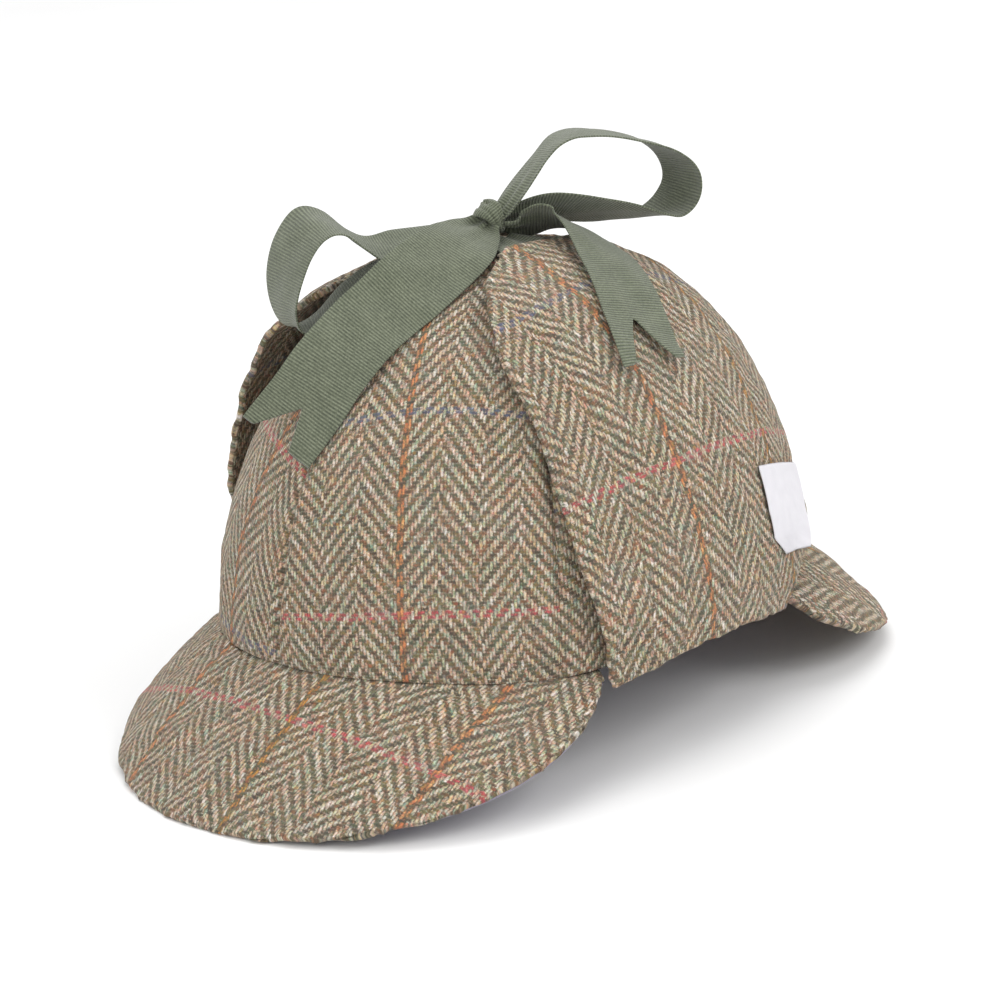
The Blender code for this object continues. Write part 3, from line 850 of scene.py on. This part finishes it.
def gore_flat(k, columns, climb):
    """Flat coordinates of a gore: across it from its middle, and up it from the rim."""
    angle = columns - math.pi / GORES
    middle_angle = (2 * k + 1) * math.pi / GORES
    gone = lengths(dome_point(angle[None] + middle_angle, climb, 0.0), 1)
    middle = np.array([np.interp(0, angle, row) for row in gone])[:, None]
    straight = np.arctan2(np.sin(climb), np.cos(climb) * np.cos(angle[None]))
    return stack(gone - middle, dome_arc(middle_angle, straight))


def build_crown(outside, inside):
    columns = crown_columns()
    wide = len(columns) - 1
    turns = np.concatenate([columns[:-1] + 2 * math.pi / GORES * k for k in range(GORES)])
    rings, lined = crown_rings()
    grid = crown_grid(turns, *rings)
    count, total = grid.shape[:2]
    tops = dome_point(0.0, math.pi / 2, np.array([-WALL, 0.0]))
    points = np.concatenate([grid.reshape(-1, 3), tops.reshape(-1, 3)])
    faces, uvs, side = [], [], []
    for k in range(GORES):
        index = np.arange(count)[:, None] * total + (np.arange(k * wide, (k + 1) * wide + 1) % total)[None]
        flat = gore_flat(k, columns, rings[0])
        cloth = cut_cloth(f"gore_{k}", flat)
        cloth[:lined] = flat[:lined]
        corner = quads(np.arange(count * (wide + 1)).reshape(count, wide + 1))
        faces.append(quads(index))
        uvs.append(cloth.reshape(-1, 2)[corner])
        side.append(np.repeat(np.arange(count - 1) < lined - 1, wide))
        # The triangles that close the inside's and the outside's top.
        for ring, pole in ((0, len(points) - 2), (count - 1, len(points) - 1)):
            turned = slice(None) if ring else slice(None, None, -1)
            tip = np.stack([index[ring, :-1], index[ring, 1:]], -1)[:, turned]
            pair = np.stack([cloth[ring][:-1], cloth[ring][1:]], 1)[:, turned]
            end = np.repeat(cloth[ring].mean(0)[None, None], wide, 0)
            faces.append(np.column_stack([tip, np.full((wide, 2), pole)]))
            uvs.append(np.concatenate([pair, end, end], 1))
            side.append(np.full(wide, ring == 0))
    faces, uvs, side = (np.concatenate(parts) for parts in (faces, uvs, side))
    crown = make("crown_cloth", points, faces, uvs, [outside, inside], side)
    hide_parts("crown")


def peak_grid(peak, depth, inset=(0.0, 0.0), columns=150, rows=46):
    """A peak's surface at a depth below its upper face, with its flat cloth coordinates.

    inset is the share of its length that it stops short of the edge, in the middle and at the sides.
    """
    shares = edged_shares(columns, 0.03)
    across = np.sin(math.pi / 2 * (2 * shares - 1)) * -peak["heading"]
    across, out = np.meshgrid(across, 1 - edged_shares(rows, 0.04))
    out = out * (1 - mix(inset[0], inset[1], np.clip((np.abs(across) - 0.25) / 0.3, 0, 1)))
    top, length = peak_top(peak, across, out)
    flat = peak_flat(peak, across, length)
    if depth:
        step = 0.01
        along = peak_top(peak, across + step, out)[0] - peak_top(peak, across - step, out)[0]
        outward = peak_top(peak, across, out + step)[0] - top
        normal = unit(np.cross(along, outward))
        normal *= np.sign(normal[..., 2:])
        top = top - normal * depth
    return top, flat


def tuck_under(grid, flat, rows=5):
    """The grid with rows added that carry its inner edge on, level, under the crown's wall."""
    heading = unit(grid[-1] * (1, 1, 0))
    steps = np.linspace(0, PEAK_TUCK, rows + 1)[1:, None, None]
    more = grid[-1][None] - heading[None] * steps
    ahead = unit(flat[-1] - flat[-2])
    return np.concatenate([grid, more]), np.concatenate([flat, flat[-1][None] + ahead[None] * steps])


def build_peaks(cloth, lining):
    for name, peak in PEAKS.items():
        grid, flat = tuck_under(*peak_grid(peak, peak["thick"] / 2))
        middle = worn(grid, SEEDS[name], PEAK_RATES)
        made = slab(name + "_cloth", middle, peak["thick"], cut_cloth(name, flat), [cloth], PEAK_RATES)
        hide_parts(name)
    peak = PEAKS["front_peak"]
    depth = peak["thick"] + SEAM_GAP + LINING_THICK / 2
    grid, flat = peak_grid(peak, depth, LINING_INSET, 80, 24)
    made = slab("peak_lining", grid, LINING_THICK, flat, [lining])
    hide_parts("front_peak_lining")


def flap_cloth(side, across, up, out):
    """Points of a flap, with flat coordinates: along it from near its middle, and up it from the fold."""
    points = flap_point(side, across, up, out)
    gone = lengths(points, 1)
    order = np.argsort(points[0, :, 1])
    start = np.array([np.interp(FLAP_MIDDLE, row[order], far[order]) for row, far in zip(points[..., 1], gone)])
    steps = np.linspace(-0.3, 1.6, 200)
    rise = lengths(side_point(side, steps, FLAP_MIDDLE, FLAP_THICK)[None], 1)[0]
    return points, stack(gone - start[:, None], np.interp(flap_tilt(across, up), steps, rise))


def build_flap(name, side, cloth):
    across = edged_shares(110, 0.03)
    across, up = np.meshgrid(across if side > 0 else 1 - across, edged_shares(150, 0.02))
    from_front = across * FLAP_WIDTH * np.clip(1.3 - up, 0.3, 1)
    curl = FLAP_EDGE_LIFT * np.exp(-((from_front / FLAP_EDGE_FADE) ** 2)) * np.clip((up - 0.05) / 0.2, 0, 1)
    grid, flat = flap_cloth(side, across, up, FLAP_THICK / 2 + FLAP_EASE / 2 + curl)
    made = slab(name + "_cloth", worn(grid, SEEDS[name]), FLAP_THICK - FLAP_EASE, cut_cloth(name, flat), [cloth])
    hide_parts(name)


def build_label(finish):
    """The label, whose lower rear corner stands off the flap."""
    up_rows = np.linspace(LABEL_OUTLINE[0][0], LABEL_OUTLINE[-1][0], 44)
    shares, up = np.meshgrid(edged_shares(28, 0.03), up_rows)
    front, rear = (np.interp(up, [r[0] for r in LABEL_OUTLINE], [r[k] for r in LABEL_OUTLINE]) for k in (1, 2))
    low = (up - up_rows[0]) / (up_rows[-1] - up_rows[0])
    corner = np.clip(1 - np.hypot((1 - shares) / 0.5, low / 0.45), 0, 1)
    lift = LABEL_CORNER_LIFT * corner**1.4
    grid = flap_point(1, mix(front, rear, shares), up, FLAP_THICK + LABEL_GAP + LABEL_THICK / 2 + lift)
    flat = stack(lengths(grid, 1), lengths(grid, 0))
    made = slab("label_cloth", grid, LABEL_THICK, flat, [finish])
    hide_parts("label")


def width_direction(turn, rise):
    turn, rise = np.radians(turn), np.radians(rise)
    return stack(np.cos(turn) * np.cos(rise), -np.sin(turn) * np.cos(rise), np.sin(rise))


def notch_cut(notch, share):
    """How much of the ribbon's length is cut away at each share of its width."""
    depth, left, middle, right, slant = notch
    sides = np.minimum((share - left) / (middle - left), (right - share) / (right - middle))
    return slant * (1 - share) + depth * np.maximum(0.0, sides)


def build_ribbon(name, node, stations, count, finish, notch=None):
    """A strip of ribbon through its stations, gathered where they are narrow; a notch cuts its end as a fishtail."""
    table = np.column_stack([np.arange(len(stations)), stations])
    fine = np.linspace(0, len(stations) - 1, 4001)
    gone = lengths(stack(*read_table(table, fine)[:3])[None], 1)[0]
    share = 2 * edged_shares(27, 0.012)[None] - 1
    cut = notch_cut(notch, share) if notch else np.zeros_like(share)
    reach = np.linspace(0, 1, count + 1)[:, None] * (gone[-1] - cut)
    key = np.interp(reach, gone, fine)
    x, y, z, width, turn, rise = read_table(table, key)
    heading = unit(stack(*read_table(table, key + 0.3)[:3]) - stack(*read_table(table, key - 0.3)[:3]))
    direction = width_direction(turn, rise)
    across = unit(direction - heading * (direction * heading).sum(-1, keepdims=True))
    normal = np.cross(heading, across)
    gather = np.clip(1 - width / RIBBON_WIDTH, 0, 1)
    wave = GATHER_DEPTH * gather * np.cos(share * GATHER_FOLDS * math.pi + 0.5) + RIBBON_CUP * (share**2 - 0.33)
    for size, length, slant in RIBBON_SWAY:
        wave = wave + size * np.sin(reach / length + slant * share)
    grid = stack(x, y, z) + across * (share * width / 2)[..., None] + normal * wave[..., None]
    flat = stack(share * RIBBON_WIDTH / 2, reach)
    made = slab(name, grid, RIBBON_THICK, flat, [finish])
    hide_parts(node)
    return made, gone[-1] * MM


def knot_bump(turn, share, size, turn_at, turn_width, share_at, share_width):
    return size * np.exp(-((((turn - turn_at) / turn_width) ** 2) + ((share - share_at) / share_width) ** 2))


def build_knot(finish):
    """The wrap in the middle of the bow: a slanting band round the ribbons' roots, with folds along it."""
    turn, section = np.meshgrid(np.linspace(-180, 180, 145), np.linspace(0, 2 * math.pi, 65), indexing="ij")
    start, end, radius = read_table(KNOT_WRAP, turn)
    turn = np.radians(turn)
    share = -np.sign(np.cos(section)) * np.abs(np.cos(section)) ** 0.75
    skin = np.sign(np.sin(section)) * np.abs(np.sin(section)) ** 0.6
    folds = 0.0
    for place, sway, phase, depth, width in KNOT_FOLDS:
        folds = folds + depth * np.exp(-(((share - place - sway * np.sin(turn + phase)) / width) ** 2))
    bulge, dimple = knot_bump(turn, share, **KNOT_BULGE), knot_bump(turn, share, **KNOT_DIMPLE)
    outer = KNOT_ROUND * (1 - share**2) + bulge - dimple - folds
    radius = radius + np.where(skin > 0, 0.55 * skin + outer * np.clip(skin * 1.4, 0, 1), 0.9 * skin)
    along, near = unit(np.array(KNOT_AXIS)), unit(np.array(KNOT_FRONT))
    near = unit(near - along * (near @ along))
    points = (
        np.array(KNOT_CENTRE, float)
        + along * mix(start, end, (share + 1) / 2)[..., None]
        + near * (radius * np.cos(turn))[..., None]
        + np.cross(near, along) * (radius * np.sin(turn))[..., None]
    )[:-1, :-1]
    rows, wide = points.shape[:2]
    index = np.pad(np.arange(rows * wide).reshape(rows, wide), ((0, 1), (0, 1)), mode="wrap")
    flat = stack(share * 4.0, turn * 5.5)
    corner = quads(np.arange((rows + 1) * (wide + 1)).reshape(rows + 1, wide + 1))
    made = make("knot_wrap", points, quads(index)[:, ::-1], flat.reshape(-1, 2)[corner][:, ::-1], [finish])
    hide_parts("bow_knot")


def build_bow(finish):
    build_knot(finish)
    strips = (
        ("front_loop", "bow_loop_front", FRONT_LOOP, 260, None),
        ("rear_loop", "bow_loop_rear", REAR_LOOP, 260, None),
        ("front_tail", "bow_tail_front", FRONT_TAIL, 170, FRONT_NOTCH),
        ("rear_tail", "bow_tail_rear", REAR_TAIL, 150, REAR_NOTCH),
    )
    for name, node, stations, count, notch in strips:
        made, length = build_ribbon(name, node, stations, count, finish, notch)
    for side, which in ((1, "left"), (-1, "right")):
        stations = np.array(RIBBON_TIE, float)
        stations[:, [0, 4]] *= side
        made, length = build_ribbon(f"{which}_tie", f"ribbon_tie_{which}", stations, 40, finish)


# Studio.


def build_studio():
    mesh = bpy.data.meshes.new("floor")
    corners = [(x * FLOOR_HALF, y * FLOOR_HALF, 0) for x, y in ((-1, -1), (1, -1), (1, 1), (-1, 1))]
    mesh.from_pydata(corners, [], [(0, 1, 2, 3)])
    mesh.materials.append(floor_paint("floor"))
    floor = bpy.data.objects.new("floor", mesh)
    bpy.context.scene.collection.objects.link(floor)
    world = bpy.data.worlds.new("studio")
    world.use_nodes = True
    background = world.node_tree.nodes["Background"]
    background.inputs["Color"].default_value = (1.0, 1.0, 1.0, 1)
    background.inputs["Strength"].default_value = WORLD_LIGHT
    bpy.context.scene.world = world
    for i, (place, width, watts) in enumerate(SOFTBOXES):
        data = bpy.data.lights.new(f"softbox_{i}", "AREA")
        data.size, data.energy = width, watts
        lamp = bpy.data.objects.new(data.name, data)
        lamp.location = place
        lamp.rotation_euler = (Vector(LIGHT_AIM) - Vector(place)).to_track_quat("-Z", "Y").to_euler()
        bpy.context.scene.collection.objects.link(lamp)


def build_camera():
    eye, right, up = Vector(EYE), Vector(VIEW_RIGHT), Vector(VIEW_UP)
    aim = Vector(VIEW_AIM) - right * AIM_LEFT + up * AIM_UP
    back = (eye - aim).normalized()
    right = up.cross(back).normalized()
    up = back.cross(right)
    data = bpy.data.cameras.new("camera")
    data.lens, data.sensor_width = LENS, SENSOR
    camera = bpy.data.objects.new("camera", data)
    camera.matrix_world = Matrix((right, up, back)).transposed().to_4x4()
    camera.location = eye
    bpy.context.scene.collection.objects.link(camera)
    bpy.context.scene.camera = camera


# Along Y, from where the shapes are drawn to the middle of the part's box.
CENTRE_SHIFT = -sum(float(peak_top(peak, np.array(0.0), np.array(1.0))[0][1]) for peak in PEAKS.values()) / 2

bpy.context.scene.view_settings.view_transform = "Standard"
build_camera()
build_studio()
TWEED = tweed("tweed")
LINING = lining_weave("lining")
RIBBON = grosgrain("ribbon")
build_crown(TWEED, LINING)
build_peaks(TWEED, LINING)
build_flap("left_ear_flap", 1, TWEED)
build_flap("right_ear_flap", -1, TWEED)
build_label(label_weave("label"))
build_bow(RIBBON)
